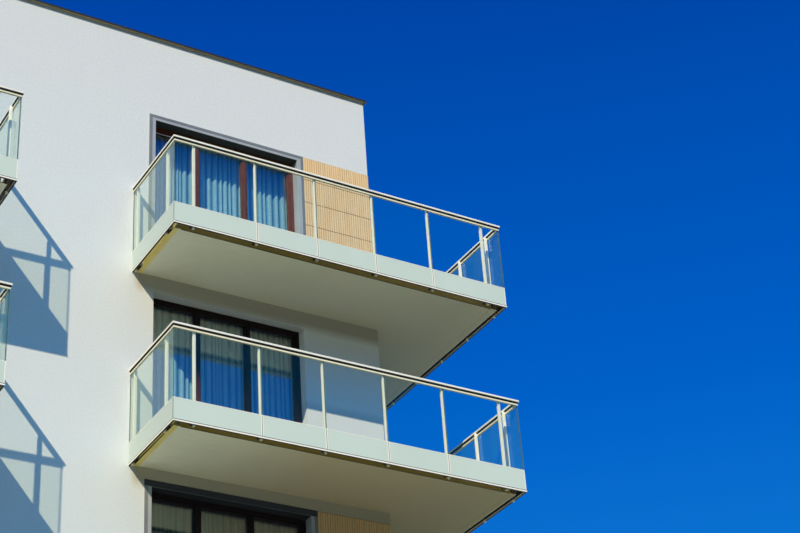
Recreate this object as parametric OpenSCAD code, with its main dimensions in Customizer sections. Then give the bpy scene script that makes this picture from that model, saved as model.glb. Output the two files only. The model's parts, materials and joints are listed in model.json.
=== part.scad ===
// A small apartment block with wrap-around glass balconies at its two front corners.
// The front wall faces -Y, +X runs to the right along it, and z = 0 is the ground.
// The origin is the middle of the walls' outline on the ground.

/* [Storeys] */
// Storeys, the ground floor included
storeys = 6; // [4:1:7]
// Height from one floor level to the next
storey_h = 3000; // [2900:10:3300]
// Ground floor level above the ground
ground_floor_z = 150; // [100:10:300]
// Thickness of the upper floor slabs and the roof slab
floor_slab_t = 250; // [180:10:320]
// Height of the parapet wall above the roof slab
parapet_h = 960; // [600:10:1200]

/* [Walls] */
// Length of the front wall
body_w = 17700; // [17000:50:20000]
// Depth of the block over its front and back walls
body_d = 12000; // [11400:50:14000]
// Thickness of the outer walls
wall_t = 300; // [260:10:400]
// How far the coping stands out past the wall faces
coping_out = 45; // [30:5:80]
// Height of the coping's hanging face below the wall top
coping_drop = 15; // [10:1:60]
// Thickness of the coping over the wall, at its inner edge
coping_t = 17; // [12:1:30]
// Rise of the coping from its inner to its outer edge
coping_rise = 8; // [0:1:20]
// Thickness of the coping's hanging faces
coping_lip = 12; // [8:1:20]

/* [Windows] */
// Width of a three-light unit, which is a balcony door on the upper storeys
unit_w = 2375; // [2000:5:2600]
// Width of a plain window on the side and back walls
window_w = 1500; // [1000:10:1800]
// Window head above the floor
head_h = 2420; // [2200:10:2500]
// Window sill above the floor
sill_h = 900; // [700:10:1100]
// Depth of the reveal in front of the window frame
reveal = 150; // [100:5:170]
// Depth of the window frames
frame_d = 60; // [45:1:75]
// Thickness of the double glazing
glazing_t = 24; // [16:1:32]
// Height of the frame head
frame_head = 100; // [60:5:140]
// Height of the bottom rail
frame_foot = 110; // [60:5:160]
// Width of the slim jamb beside the fixed light
slim_jamb = 50; // [40:1:80]
// Width of the mullions and the wide jamb
mullion_w = 95; // [70:5:140]
// Width of the fixed light
fixed_light = 655; // [450:5:750]
// Step of the sash in front of the glass
sash_step = 14; // [6:1:20]
// Width of the frame members of a plain window
window_bar = 75; // [60:5:110]
// Distance between the middles of the back wall's windows
back_pitch = 3300; // [2700:50:3500]
// Middle of the plain side windows behind the middle of the block
side_window_y = 2700; // [1500:50:3500]
// Thickness of the window sills
sill_t = 30; // [20:1:50]
// How far the window sills stand out
sill_out = 40; // [20:1:60]

/* [Surrounds and cladding] */
// Width of the flat band beside a three-light unit
surround_w = 100; // [70:5:130]
// Height of the band over the unit
surround_head = 90; // [60:5:130]
// How far the band stands out at its outer half
surround_t = 12; // [8:1:30]
// How far the band's inner half lies behind its outer half
surround_step = 5; // [2:1:7]
// Thickness of the lining that turns from the band into the opening
lining_t = 5; // [3:1:8]
// Width of the ribbed cladding from the band to the corner of the block
cladding_w = 1160; // [900:10:1300]
// Thickness of the cladding
cladding_t = 12; // [8:1:30]
// Number of cladding courses in one storey
courses = 6; // [4:1:8]
// Open joint between two courses
course_gap = 8; // [4:1:14]

/* [Balconies] */
// How far the balconies stand out, measured to the glass
balcony_out = 1400; // [1200:10:1600]
// Length of each balcony along the front
balcony_w = 5360; // [5200:10:5600]
// How far the corner balconies run back along the side walls
balcony_back = 4425; // [4300:25:5000]
// Thickness of the balcony slabs
balcony_slab_t = 320; // [260:5:340]
// Distance from the glass back to the slab's edge channel
slab_inset = 150; // [120:5:200]
// Thickness of the edge channel
channel_t = 20; // [12:1:30]

/* [Balustrade] */
// Handrail top above the floor
rail_h = 1100; // [1000:10:1200]
// Width of the handrail
rail_w = 60; // [50:1:80]
// Height of the handrail
rail_t = 35; // [25:1:45]
// How far the handrail stands out past the glass
rail_lip = 22; // [10:1:30]
// Open gap between the handrail and the glass capping
rail_gap = 22; // [12:1:35]
// Thickness of the balustrade glass
glass_t = 12; // [8:1:18]
// Open joint between two panes
pane_gap = 8; // [4:1:12]
// How far the frosted panes hang below the floor level
band_h = 330; // [325:5:400]
// Height of the capping over the clear panes
capping_h = 26; // [20:1:45]
// How far the capping and the bottom channel stand out past the glass
capping_lip = 6; // [4:1:10]
// Height of the channel under the frosted panes
foot_channel_h = 24; // [18:1:40]
// How deep the glass sits in its capping and channel
glass_seat = 12; // [8:1:16]
// Width of a post along the rail
post_w = 38; // [30:1:60]
// Depth of a post
post_d = 40; // [35:1:70]
// Distance from the outer face of the glass to the post
post_front = 20; // [19:1:30]
// Width of the post's narrow tip under the handrail
post_tip = 16; // [10:1:26]
// Height of the tapered head of a post
post_taper = 80; // [50:5:120]
// Distance from a corner of the balcony to the nearest post
post_corner = 305; // [250:5:350]
// Distance from a wall to the nearest post
post_wall = 80; // [60:5:120]
// Post spaces along the front of a balcony
front_bays = 5; // [4:1:6]
// Post spaces along the side of a corner balcony
side_bays = 7; // [6:1:8]
// Width of the bracket behind a post
bracket_w = 46; // [40:1:80]
// Width of the bracket's tip at the slab
bracket_tip = 20; // [12:1:38]
// Thickness of the bracket
bracket_t = 20; // [12:1:30]
// Height of the bracket above the slab's underside
bracket_up = 30; // [5:1:60]

/* [Entrance] */
// Width of the entrance door leaf
door_leaf_w = 960; // [850:10:1050]
// Height of the door leaf
door_leaf_h = 2100; // [2000:10:2150]
// Open gap around the door leaf
leaf_gap = 4; // [3:1:8]
// Depth of the gap and of the leaf's panels
leaf_relief = 12; // [6:1:20]
// Margin around the leaf's panels
leaf_margin = 150; // [100:5:200]

/* [Curtains] */
// How far a curtain reaches past its window on each side
curtain_past = 150; // [80:10:250]
// Depth of the gathered curtain
curtain_d = 80; // [60:5:110]
// Gap between the wall and the curtain
curtain_gap = 20; // [10:1:40]
// Height of the curtain track above the window head
track_up = 60; // [30:5:100]
// Height of the curtain track
track_h = 30; // [20:1:40]
// Gap between a long curtain and the floor
curtain_floor_gap = 15; // [5:1:40]
// How far a short curtain hangs below its window sill
curtain_below_sill = 100; // [50:10:200]

/* [Hidden] */
over = 5;
stacks = ["left", "middle", "right"];
stack_parts = ["balcony_slabs", "slab_channels", "posts", "handrails", "glass_fittings",
    "clear_panes", "frosted_panes"];

// Levels
function floor_z(s) = ground_floor_z + (s - 1) * storey_h;
roof_z = floor_z(storeys + 1);
wall_top = roof_z + parapet_h;

// Columns of openings as [middle, width, kind, flipped], each in its wall's own frame
corner_to_unit = cladding_w + surround_w + unit_w / 2;
front_unit_x = body_w / 2 - corner_to_unit;
side_unit_x = corner_to_unit - body_d / 2;
front_columns = [[-front_unit_x, unit_w, "balcony", 1], [0, unit_w, "balcony", 0],
    [front_unit_x, unit_w, "balcony", 0]];
side_columns = [[side_unit_x, unit_w, "balcony", 1], [side_window_y, window_w, "room", 0]];
back_columns = [for (i = [-2:2]) [i * back_pitch, window_w, i == 0 ? "hall" : "room", 0]];
side_wall_len = body_d - 2 * wall_t;

// What fills a column's opening on storey s, and the opening's two levels
function filling(kind, s) = kind == "balcony" ? "unit" : kind == "hall" && s == 1 ? "door" : "window";
function to_floor(kind, s) = filling(kind, s) == "door" || (kind == "balcony" && s > 1);
function sill_z(kind, s) = floor_z(s) + (to_floor(kind, s) ? 0 : sill_h);
function head_z(s) = floor_z(s) + head_h;
function with_surround(s) = s > 1 && (storeys - s) % 2 == 0;

// Balustrade levels above the floor
rail_z = rail_h - rail_t;
capping_top = rail_z - rail_gap;
capping_z = capping_top - capping_h;
clear_top = capping_z + glass_seat;
foot_channel_z = glass_seat - foot_channel_h - band_h;
bracket_z = bracket_up - balcony_slab_t;
post_z = foot_channel_z + foot_channel_h / 2;

// Lines that the balconies keep to, for the right corner and the middle
front_y = -body_d / 2;
glass_y = front_y - balcony_out;
rear_y = front_y + balcony_back;
side_x = body_w / 2;
glass_x = side_x + balcony_out;
inner_x = glass_x - balcony_w;
middle_x = balcony_w / 2;

// Plan of a balcony, inset from its glass and run past the walls
function plan(place, inset, past) = place == "corner"
    ? [[inner_x + inset, front_y + past], [inner_x + inset, glass_y + inset],
        [glass_x - inset, glass_y + inset], [glass_x - inset, rear_y - inset],
        [side_x - past, rear_y - inset], [side_x - past, front_y + past]]
    : [[inset - middle_x, front_y + past], [inset - middle_x, glass_y + inset],
        [middle_x - inset, glass_y + inset], [middle_x - inset, front_y + past]];

// Straight lengths of a balustrade, each as
// [start, turn, length, first post, last post, post spaces, cut at start, cut at end]
corner_cut = glass_t + pane_gap;
function runs(place) = place == "corner"
    ? [[[inner_x, front_y], -90, balcony_out, post_wall, post_corner, 1, 0, corner_cut],
        [[inner_x, glass_y], 0, balcony_w, post_corner, post_corner, front_bays, 0, 0],
        [[glass_x, glass_y], 90, balcony_out + balcony_back, post_corner, post_corner, side_bays,
            corner_cut, 0],
        [[glass_x, rear_y], 180, balcony_out, post_corner, post_wall, 1, corner_cut, 0]]
    : [[[-middle_x, front_y], -90, balcony_out, post_wall, post_corner, 1, 0, corner_cut],
        [[-middle_x, glass_y], 0, balcony_w, post_corner, post_corner, front_bays, 0, 0],
        [[middle_x, glass_y], 90, balcony_out, post_corner, post_wall, 1, corner_cut, 0]];
function post_places(run) = [for (i = [0:run[5]])
    run[3] + i * (run[2] - run[3] - run[4]) / run[5]];

// Panes meet at every post of a run but its first and last
function pane_ends(run) = let (posts = post_places(run), last = len(posts) - 1)
    concat([run[6]], last > 1 ? [for (i = [1:last - 1]) posts[i]] : [], [run[2] - run[7]]);

module block(x_span, y_span, z_span) {
    translate([x_span[0], y_span[0], z_span[0]])
        cube([x_span[1] - x_span[0], y_span[1] - y_span[0], z_span[1] - z_span[0]]);
}

module both_sides() {
    children();
    mirror([1, 0, 0]) children();
}

// A wall's own frame has x to the right seen from outside and y into the wall
module in_front_wall() { translate([0, -body_d / 2, 0]) children(); }
module in_back_wall() { translate([0, body_d / 2, 0]) rotate([0, 0, 180]) children(); }
module in_side_walls() { both_sides() translate([body_w / 2, 0, 0]) rotate([0, 0, 90]) children(); }

// Full-height strips of wall beside the columns of openings
module piers(length, columns) {
    last = len(columns);
    for (i = [0:last]) {
        start = i == 0 ? -length / 2 : columns[i - 1][0] + columns[i - 1][1] / 2;
        end = i == last ? length / 2 : columns[i][0] - columns[i][1] / 2;
        block([start, end], [0, wall_t], [0, wall_top]);
    }
}

// Stretches of wall under, between and over the openings of each column
module spandrels(columns) {
    for (column = columns, s = [0:storeys]) {
        low = s == 0 ? 0 : head_z(s);
        high = s == storeys ? wall_top : sill_z(column[2], s + 1);
        half = column[1] / 2;
        block([column[0] - half, column[0] + half], [0, wall_t], [low, high]);
    }
}

module front_wall_piers() { color("gainsboro") in_front_wall() piers(body_w, front_columns); }
module front_wall_spandrels() { color("gainsboro") in_front_wall() spandrels(front_columns); }
module back_wall_piers() { color("gainsboro") in_back_wall() piers(body_w, back_columns); }
module back_wall_spandrels() { color("gainsboro") in_back_wall() spandrels(back_columns); }
module side_wall_piers() { color("gainsboro") in_side_walls() piers(side_wall_len, side_columns); }
module side_wall_spandrels() { color("gainsboro") in_side_walls() spandrels(side_columns); }

// Floor slabs fill the space inside the walls; the ground slab lies on the ground
module inside_slab(low, high) {
    half_w = body_w / 2 - wall_t;
    half_d = body_d / 2 - wall_t;
    block([-half_w, half_w], [-half_d, half_d], [low, high]);
}

module floor_slab(s) {
    color("darkgray") inside_slab(s == 1 ? 0 : floor_z(s) - floor_slab_t, floor_z(s));
}

module roof_slab() { color("dimgray") inside_slab(roof_z - floor_slab_t, roof_z); }

// One mitred side of the coping, drawn along x from its outer corner, with y inwards
module coping_side(length) {
    width = wall_t + 2 * coping_out;
    intersection() {
        rotate([90, 0, 90]) linear_extrude(length)
            polygon([[0, -coping_drop], [coping_lip, -coping_drop], [coping_lip, 0],
                [width - coping_lip, 0], [width - coping_lip, -coping_drop],
                [width, -coping_drop], [width, coping_t], [0, coping_t + coping_rise]]);
        translate([0, 0, -coping_drop]) linear_extrude(coping_drop + coping_t + coping_rise)
            polygon([[0, 0], [length, 0], [length - width, width], [width, width]]);
    }
}

module parapet_coping() {
    long = body_w + 2 * coping_out;
    short = body_d + 2 * coping_out;
    color("darkslategray") translate([0, 0, wall_top]) for (turn = [0, 180]) rotate([0, 0, turn]) {
        translate([-long / 2, -short / 2, 0]) coping_side(long);
        translate([long / 2, -short / 2, 0]) rotate([0, 0, 90]) coping_side(short);
    }
}

// Draws the children at the sill of each opening that is filled so,
// and tells them its width, height, storey and whether it reaches the floor
module in_columns(columns, wanted) {
    for (column = columns, s = [1:storeys])
        if (filling(column[2], s) == wanted) {
            $width = column[1];
            $height = head_z(s) - sill_z(column[2], s);
            $storey = s;
            $to_floor = to_floor(column[2], s);
            translate([column[0], 0, sill_z(column[2], s)]) mirror([column[3], 0, 0]) children();
        }
}

module in_openings(wanted) {
    in_front_wall() in_columns(front_columns, wanted) children();
    in_side_walls() in_columns(side_columns, wanted) children();
    in_back_wall() in_columns(back_columns, wanted) children();
}

// One light cut through a frame, with a step around it on the outside
module light(left, right, bottom, top) {
    block([left, right], [-over, frame_d + over], [bottom, top]);
    block([left - sash_step, right + sash_step], [-over, frame_d / 3],
        [bottom - sash_step, top + sash_step]);
}

// Frame of a three-light unit: a fixed light beside a slim jamb, then two wide leaves
module unit_frame() {
    left = -$width / 2;
    leaf = ($width - slim_jamb - fixed_light - 3 * mullion_w) / 2;
    first = left + slim_jamb;
    second = first + fixed_light + mullion_w;
    third = second + leaf + mullion_w;
    difference() {
        block([left, -left], [0, frame_d], [0, $height]);
        light(first, first + fixed_light, frame_foot, $height - frame_head);
        light(second, second + leaf, frame_foot, $height - frame_head);
        light(third, third + leaf, frame_foot, $height - frame_head);
    }
}

// Frame of a plain window with two equal casements
module window_frame() {
    half = $width / 2;
    difference() {
        block([-half, half], [0, frame_d], [0, $height]);
        both_sides() light(window_bar / 2, half - window_bar, window_bar, $height - window_bar);
    }
}

module glazing() {
    translate([-$width / 2, reveal + frame_d, 0]) cube([$width, glazing_t, $height]);
}

module balcony_door_frames() {
    color("saddlebrown") in_openings("unit") translate([0, reveal, 0]) unit_frame();
}

module balcony_door_glass() { color("steelblue", 0.6) in_openings("unit") glazing(); }

module window_frames() {
    color("saddlebrown") in_openings("window") translate([0, reveal, 0]) window_frame();
}

module window_glass() {
    color("steelblue", 0.6) {
        in_openings("window") glazing();
        in_openings("door") translate([0, reveal + (frame_d - glazing_t) / 2, 0]) door_lights()
            cube([$light_w, glazing_t, $light_h]);
    }
}

// Sills lie in the reveals of the windows that have wall below them
module window_sills() {
    color("silver") {
        in_openings("window") sill();
        in_openings("unit") if ($storey == 1) sill();
    }
}

module sill() {
    half = $width / 2;
    translate([-half, -sill_out, 0]) cube([$width, sill_out + reveal, sill_t]);
}

// Flat band around the top and sides of a three-light unit, in two steps
module band_outline(share, tall) {
    half = $width / 2 + share * surround_w;
    translate([-half, 0]) square([2 * half, tall + share * surround_head]);
}

module surround() {
    rotate([90, 0, 0]) {
        linear_extrude(surround_t) difference() {
            band_outline(1, $height);
            translate([0, -over]) band_outline(0.5, $height + over);
        }
        linear_extrude(surround_t - surround_step) difference() {
            band_outline(0.5, $height);
            translate([0, -over]) band_outline(0, $height + over);
        }
    }
    lining();
}

// The band's inner edge turns into the opening, back to the frame
module lining() {
    half = $width / 2;
    front = surround_step - surround_t;
    difference() {
        block([-half, half], [front, reveal], [0, $height]);
        block([lining_t - half, half - lining_t], [front - over, reveal + over],
            [-over, $height - lining_t]);
    }
}

module surrounds() {
    color("lightsteelblue") in_openings("unit") if (with_surround($storey)) surround();
}

// Cladding courses wrap the two front corners, between the bands on the front and the sides
module cladding() {
    pitch = (head_h + surround_head) / courses;
    color("burlywood") both_sides()
        for (s = [1:storeys]) if (with_surround(s)) for (i = [0:courses - 1])
            translate([side_x, front_y, floor_z(s) + i * pitch])
                linear_extrude(pitch - course_gap)
                    polygon([[-cladding_w, 0], [-cladding_w, -cladding_t], [cladding_t, -cladding_t],
                        [cladding_t, cladding_w], [0, cladding_w], [0, 0]]);
}

// The entrance: a leaf with two panels, a side light and a light over both
leaf_left = window_bar - window_w / 2;
side_light_left = leaf_left + door_leaf_w + window_bar;
top_light_z = door_leaf_h + window_bar;

module door_lights() {
    translate([side_light_left, 0, window_bar]) {
        $light_w = window_w / 2 - window_bar - side_light_left;
        $light_h = door_leaf_h - window_bar;
        children();
    }
    translate([leaf_left, 0, top_light_z]) {
        $light_w = window_w - 2 * window_bar;
        $light_h = head_h - top_light_z - window_bar;
        children();
    }
}

module leaf_panel(low, high) {
    block([leaf_left + leaf_margin, leaf_left + door_leaf_w - leaf_margin], [-over, leaf_relief],
        [low, high]);
}

module entrance_door() {
    middle = door_leaf_h / 2;
    color("sienna") in_openings("door") translate([0, reveal, 0]) difference() {
        block([-window_w / 2, window_w / 2], [0, frame_d], [0, $height]);
        door_lights() translate([0, -over, 0]) cube([$light_w, frame_d + 2 * over, $light_h]);
        difference() {
            block([leaf_left, leaf_left + door_leaf_w], [-over, leaf_relief], [-over, door_leaf_h]);
            block([leaf_left + leaf_gap, leaf_left + door_leaf_w - leaf_gap], [-2 * over, frame_d],
                [-2 * over, door_leaf_h - leaf_gap]);
        }
        leaf_panel(leaf_margin, middle - leaf_margin / 2);
        leaf_panel(middle + leaf_margin / 2, door_leaf_h - leaf_margin);
    }
}

// Curtains hang from tracks on the inside of the wall, over every window
module curtain() {
    half = $width / 2 + curtain_past;
    block([-half, half], [wall_t + curtain_gap, wall_t + curtain_gap + curtain_d],
        [$to_floor ? curtain_floor_gap : -curtain_below_sill, $height + track_up]);
}

module curtain_track() {
    half = $width / 2 + curtain_past;
    block([-half, half], [wall_t, wall_t + curtain_gap + curtain_d],
        [$height + track_up, $height + track_up + track_h]);
}

module curtains() {
    color("ghostwhite") {
        in_openings("unit") curtain();
        in_openings("window") curtain();
    }
}

module curtain_tracks() {
    color("white") {
        in_openings("unit") curtain_track();
        in_openings("window") curtain_track();
    }
}

// Draws the children for one stack of balconies, at each of its floor levels
module in_stack(stack) {
    place = stack == "middle" ? "middle" : "corner";
    for (s = [2:storeys]) translate([0, 0, floor_z(s)]) mirror([stack == "left" ? 1 : 0, 0, 0]) {
        $place = place;
        children();
    }
}

// A strip along a balcony's free edges, between two insets from the glass
module edge_strip(outer, inner, past, low, high) {
    translate([0, 0, low]) linear_extrude(high - low) difference() {
        polygon(plan($place, outer, past));
        polygon(plan($place, inner, past + over));
    }
}

module balcony_slabs(stack) {
    color("gray") in_stack(stack) translate([0, 0, -balcony_slab_t])
        linear_extrude(balcony_slab_t) polygon(plan($place, slab_inset + channel_t, 0));
}

// Steel channels wrap the free edges of the slabs
module slab_channels(stack) {
    color("goldenrod") in_stack(stack)
        edge_strip(slab_inset, slab_inset + channel_t, 0, -balcony_slab_t, 0);
}

// Draws the children at each post, with x along the rail and y towards the slab
module at_posts() {
    for (run = runs($place)) translate([run[0].x, run[0].y, 0]) rotate([0, 0, run[1]])
        for (x = post_places(run)) translate([x, 0, 0]) children();
}

// A post narrows to a tip under the handrail and ends behind the bottom channel
module post() {
    half = post_w / 2;
    tip = post_tip / 2;
    translate([0, post_front + post_d, 0]) rotate([90, 0, 0]) linear_extrude(post_d)
        polygon([[-half, post_z], [half, post_z], [half, rail_z - post_taper], [tip, rail_z],
            [-tip, rail_z], [-half, rail_z - post_taper]]);
}

module posts(stack) { color("linen") in_stack(stack) at_posts() post(); }

module handrails(stack) {
    color("linen") in_stack(stack) edge_strip(-rail_lip, rail_w - rail_lip, 0, rail_z, rail_h);
}

// Tapered brackets carry the posts from the slab's edge channel
module bracket() {
    half = bracket_w / 2;
    tip = bracket_tip / 2;
    translate([0, 0, bracket_z]) linear_extrude(bracket_t)
        polygon([[-half, post_front + post_d], [half, post_front + post_d], [tip, slab_inset],
            [-tip, slab_inset]]);
}

// Grooved channels between the posts and the glass hold it above and below
module glass_fittings(stack) {
    color("cornsilk") in_stack(stack) {
        difference() {
            edge_strip(-capping_lip, post_front, 0, capping_z, capping_top);
            edge_strip(0, glass_t, over, capping_z - over, clear_top);
        }
        difference() {
            edge_strip(-capping_lip, post_front, 0, foot_channel_z, foot_channel_z + foot_channel_h);
            edge_strip(0, glass_t, over, -band_h, foot_channel_z + foot_channel_h + over);
        }
        at_posts() bracket();
    }
}

// The panes of every run, between two levels
module panes(low, high) {
    for (run = runs($place)) translate([run[0].x, run[0].y, 0]) rotate([0, 0, run[1]]) {
        ends = pane_ends(run);
        last = len(ends) - 1;
        for (i = [1:last]) {
            start = ends[i - 1] + (i == 1 ? 0 : pane_gap / 2);
            end = ends[i] - (i == last ? 0 : pane_gap / 2);
            block([start, end], [0, glass_t], [low, high]);
        }
    }
}

module clear_panes(stack) { color("lightcyan", 0.4) in_stack(stack) panes(0, clear_top); }
module frosted_panes(stack) { color("honeydew", 0.9) in_stack(stack) panes(-band_h, 0); }

front_wall_piers();
front_wall_spandrels();
back_wall_piers();
back_wall_spandrels();
side_wall_piers();
side_wall_spandrels();
for (s = [1:storeys]) floor_slab(s);
roof_slab();
parapet_coping();
surrounds();
cladding();
balcony_door_frames();
balcony_door_glass();
window_frames();
window_glass();
window_sills();
entrance_door();
curtains();
curtain_tracks();
for (stack = stacks) {
    balcony_slabs(stack);
    slab_channels(stack);
    posts(stack);
    handrails(stack);
    glass_fittings(stack);
    clear_panes(stack);
    frosted_panes(stack);
}
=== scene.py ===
# %% [markdown]
# # An apartment block with wrap-around glass balconies
#
# The block is already built at full size, piece by piece. This notebook gives it its looks: real
# finishes on every surface, and finer pieces where a plain solid isn't enough. Everything is in
# metres, and +Z is up.

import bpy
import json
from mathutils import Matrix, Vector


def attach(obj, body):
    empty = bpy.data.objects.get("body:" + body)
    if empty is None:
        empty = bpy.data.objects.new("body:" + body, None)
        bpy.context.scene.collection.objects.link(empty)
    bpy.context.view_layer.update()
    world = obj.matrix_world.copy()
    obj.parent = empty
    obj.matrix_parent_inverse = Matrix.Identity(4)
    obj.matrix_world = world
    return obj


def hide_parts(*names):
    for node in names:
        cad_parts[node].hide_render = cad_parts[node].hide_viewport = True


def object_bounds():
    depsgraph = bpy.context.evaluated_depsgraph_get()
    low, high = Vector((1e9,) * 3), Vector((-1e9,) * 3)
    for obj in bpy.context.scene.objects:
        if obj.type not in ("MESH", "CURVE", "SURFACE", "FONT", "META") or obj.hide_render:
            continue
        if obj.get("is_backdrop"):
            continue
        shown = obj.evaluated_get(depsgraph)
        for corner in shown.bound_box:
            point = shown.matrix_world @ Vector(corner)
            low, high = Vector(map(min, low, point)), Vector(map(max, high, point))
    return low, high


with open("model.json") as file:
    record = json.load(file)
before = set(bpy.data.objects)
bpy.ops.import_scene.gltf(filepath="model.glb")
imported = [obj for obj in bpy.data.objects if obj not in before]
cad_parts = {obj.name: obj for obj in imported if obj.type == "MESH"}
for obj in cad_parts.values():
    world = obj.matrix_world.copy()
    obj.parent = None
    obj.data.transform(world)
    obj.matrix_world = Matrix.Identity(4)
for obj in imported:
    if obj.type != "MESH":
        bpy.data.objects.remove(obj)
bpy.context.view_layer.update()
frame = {"nodes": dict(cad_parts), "record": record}

# %% Import the rest
import json
import math
import random

import bpy
from mathutils import Matrix, Vector

# %% [markdown]
# ## The camera
#
# The block is seen from the pavement in front of it with a long lens, looking up at its right
# corner. The heading is measured from straight ahead towards the right, the pitch is how far the
# view is tilted up, and the small roll is the hand that held the camera.

# %% Place the camera
CAMERA_PLACE = (-3.5765, -26.0736, 1.0558)
HEADING, PITCH, ROLL = 32.749, 32.209, -4.224
LENS, FILM_WIDTH = 82.05, 36


def new_object(name, data):
    made = bpy.data.objects.new(name, data)
    bpy.context.scene.collection.objects.link(made)
    return made


camera = new_object("camera", bpy.data.cameras.new("camera"))
turn = (
    Matrix.Rotation(math.radians(-HEADING), 4, "Z")
    @ Matrix.Rotation(math.radians(90 + PITCH), 4, "X")
    @ Matrix.Rotation(math.radians(ROLL), 4, "Z")
)
camera.matrix_world = Matrix.Translation(CAMERA_PLACE) @ turn
camera.data.lens = LENS
camera.data.sensor_width = FILM_WIDTH
camera.data.clip_end = 1000
bpy.context.scene.camera = camera
print("camera at", CAMERA_PLACE)

# %% [markdown]
# ## Light
#
# One large lamp stands in for a low bright sun at the left, with soft edges to its shadows. The
# world fills the shade with a cool light, as a clear sky does, so shade on white looks blue. The
# lamp is a little warm, so the two together leave a white wall white. A weaker lamp from behind
# keeps the far sides readable. Standard view keeps a colour as it is written.

# %% Set the lamps
bpy.context.scene.view_settings.view_transform = "Standard"


def lamp(name, direction, strength, colour, softness):
    light = bpy.data.lights.new(name, "SUN")
    light.energy = strength
    light.color = colour
    light.angle = math.radians(softness)
    turned_to = Vector(direction).to_track_quat("-Z", "Y")
    new_object(name, light).rotation_euler = turned_to.to_euler()
    print(name, "strength:", strength)


lamp("main_lamp", (0.515, 0.553, -0.620), 4.45, (1.0, 0.832, 0.585), 0.5)
lamp("back_lamp", (-0.25, -0.45, -0.86), 1.8, (1.0, 0.90, 0.76), 6)

# %% [markdown]
# ## Helpers for finishes
#
# A finish is a small graph of shader nodes. These helpers add to the graph that is being made:
# `node` adds one node with its settings and sockets, and the others name what painters do, such as
# mixing two colours by a mask. Colours are written as on a colour card, 0 to 255.

# %% Add nodes
graph = {}        # the tree and the shader that are being made


def paint(red, green, blue):
    levels = [level / 255 for level in (red, green, blue)]
    return [x / 12.92 if x <= 0.04045 else ((x + 0.055) / 1.055) ** 2.4 for x in levels] + [1]


def plug(inputs, sockets):
    """Links a value to each named socket, or sets it there."""
    for name, value in sockets.items():
        if isinstance(value, bpy.types.NodeSocket):
            graph["tree"].links.new(value, inputs[name])
        else:
            inputs[name].default_value = value


def node(kind, sockets=None, **settings):
    made = graph["tree"].nodes.new("ShaderNode" + kind)
    for name, value in settings.items():
        setattr(made, name, value)
    plug(made.inputs, sockets or {})
    return made


# %% Mix and measure
def mixed(mask, *colours):
    """Two colours by a mask. Three numbers are a colour as on a card."""
    first, second = (paint(*c) if isinstance(c, tuple) and len(c) == 3 else c for c in colours)
    return node("Mix", {0: mask, 6: first, 7: second}, data_type="RGBA").outputs[2]


def spread(value, low, high, new_low=0.0, new_high=1.0):
    sockets = {0: value, 1: low, 2: high, 3: new_low, 4: new_high}
    return node("MapRange", sockets).outputs[0]


def sums(operation, *values):
    return node("Math", dict(enumerate(values)), operation=operation).outputs[0]


def times(first, second):
    return sums("MULTIPLY", first, second)


def component(vector, axis):
    return node("SeparateXYZ", {0: vector}).outputs[axis]


# %% Place and cloud
def place_on(stretch=(1, 1, 1)):
    coordinates = node("TexCoord").outputs["Object"]
    return node("Mapping", {"Vector": coordinates, "Scale": stretch}).outputs[0]


def noise(place, scale, detail=2.0, roughness=0.5):
    sockets = {"Vector": place, "Scale": scale, "Detail": detail, "Roughness": roughness}
    return node("TexNoise", sockets).outputs[0]


def clouds(place, scale, detail=2.0, roughness=0.5):
    """A mask of soft patches."""
    return spread(noise(place, scale, detail, roughness), 0.3, 0.7)


GROUND, STOREY = 0.15, 3.0
SHELTERED = 15.0        # below this level a balcony hangs over each storey


def over_floor(low, high, below=SHELTERED):
    """A mask that turns to 1 between two heights over each floor, on the storeys below a level."""
    height = component(place_on(), "Z")
    level = sums("MODULO", sums("SUBTRACT", height, GROUND), STOREY)
    return times(spread(height, below + 0.1, below), spread(level, low, high))


# %% Start and fill a finish
finishes = {}


def finish(name, roughness=0.5, metallic=0.0):
    """Starts a finish and returns the place on the object."""
    finishes[name] = made = bpy.data.materials.new(name)
    made.use_nodes = True
    graph["tree"] = made.node_tree
    graph["shader"] = made.node_tree.nodes["Principled BSDF"].inputs
    shade({"Roughness": roughness, "Metallic": metallic})
    print("finish:", name)
    return place_on()


def shade(sockets):
    plug(graph["shader"], sockets)


def surface(colour, height=None, depth=0.0, strength=1.0):
    """Links the colour of a finish, and its grain as a bump of some depth."""
    shade({"Base Color": colour})
    if height is not None:
        grain = {"Height": height, "Distance": depth, "Strength": strength}
        shade({"Normal": node("Bump", grain).outputs[0]})


# %% [markdown]
# ## The sky and the floor
#
# The world does two jobs. Rays that light the block get one cool colour, weaker near the floor, as
# the low sky of a town is mostly hidden; so a wall under a balcony is darker than one in the open
# shade. Rays that see it, straight or in a mirror or through glass, get a plain backdrop that is
# paler at the floor and deep blue above, so glass has something real to show. The floor looks plain
# and pale, but what it throws back on the block comes mostly from near by, as from light paving.

# %% Make the world
world = bpy.data.worlds.new("world")
world.use_nodes = True
bpy.context.scene.world = world
graph["tree"] = world.node_tree
world.node_tree.nodes.clear()
height = component(node("TexCoord").outputs["Generated"], "Z")
haze = mixed(spread(height, 0.0, 0.25), (170, 200, 225), (22, 134, 222))
middle_sky = mixed(spread(height, 0.25, 0.47), haze, (0, 95, 198))
seen = mixed(spread(height, 0.47, 0.68), middle_sky, (0, 62, 160))
rays = node("LightPath").outputs
looking = sums("MAXIMUM", rays["Is Camera Ray"], rays["Is Glossy Ray"])
looking = sums("MAXIMUM", looking, rays["Is Transmission Ray"])
strength = spread(height, 0.10, 0.50, 0.0, 1.60)
filling = node("Background", {"Color": (0.012, 0.30, 0.77, 1), "Strength": strength})
backdrop = node("Background", {"Color": seen, "Strength": 1.0})
both = node("MixShader", {0: looking, 1: filling.outputs[0], 2: backdrop.outputs[0]})
node("OutputWorld", {"Surface": both.outputs[0]})
print("world made")

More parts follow.
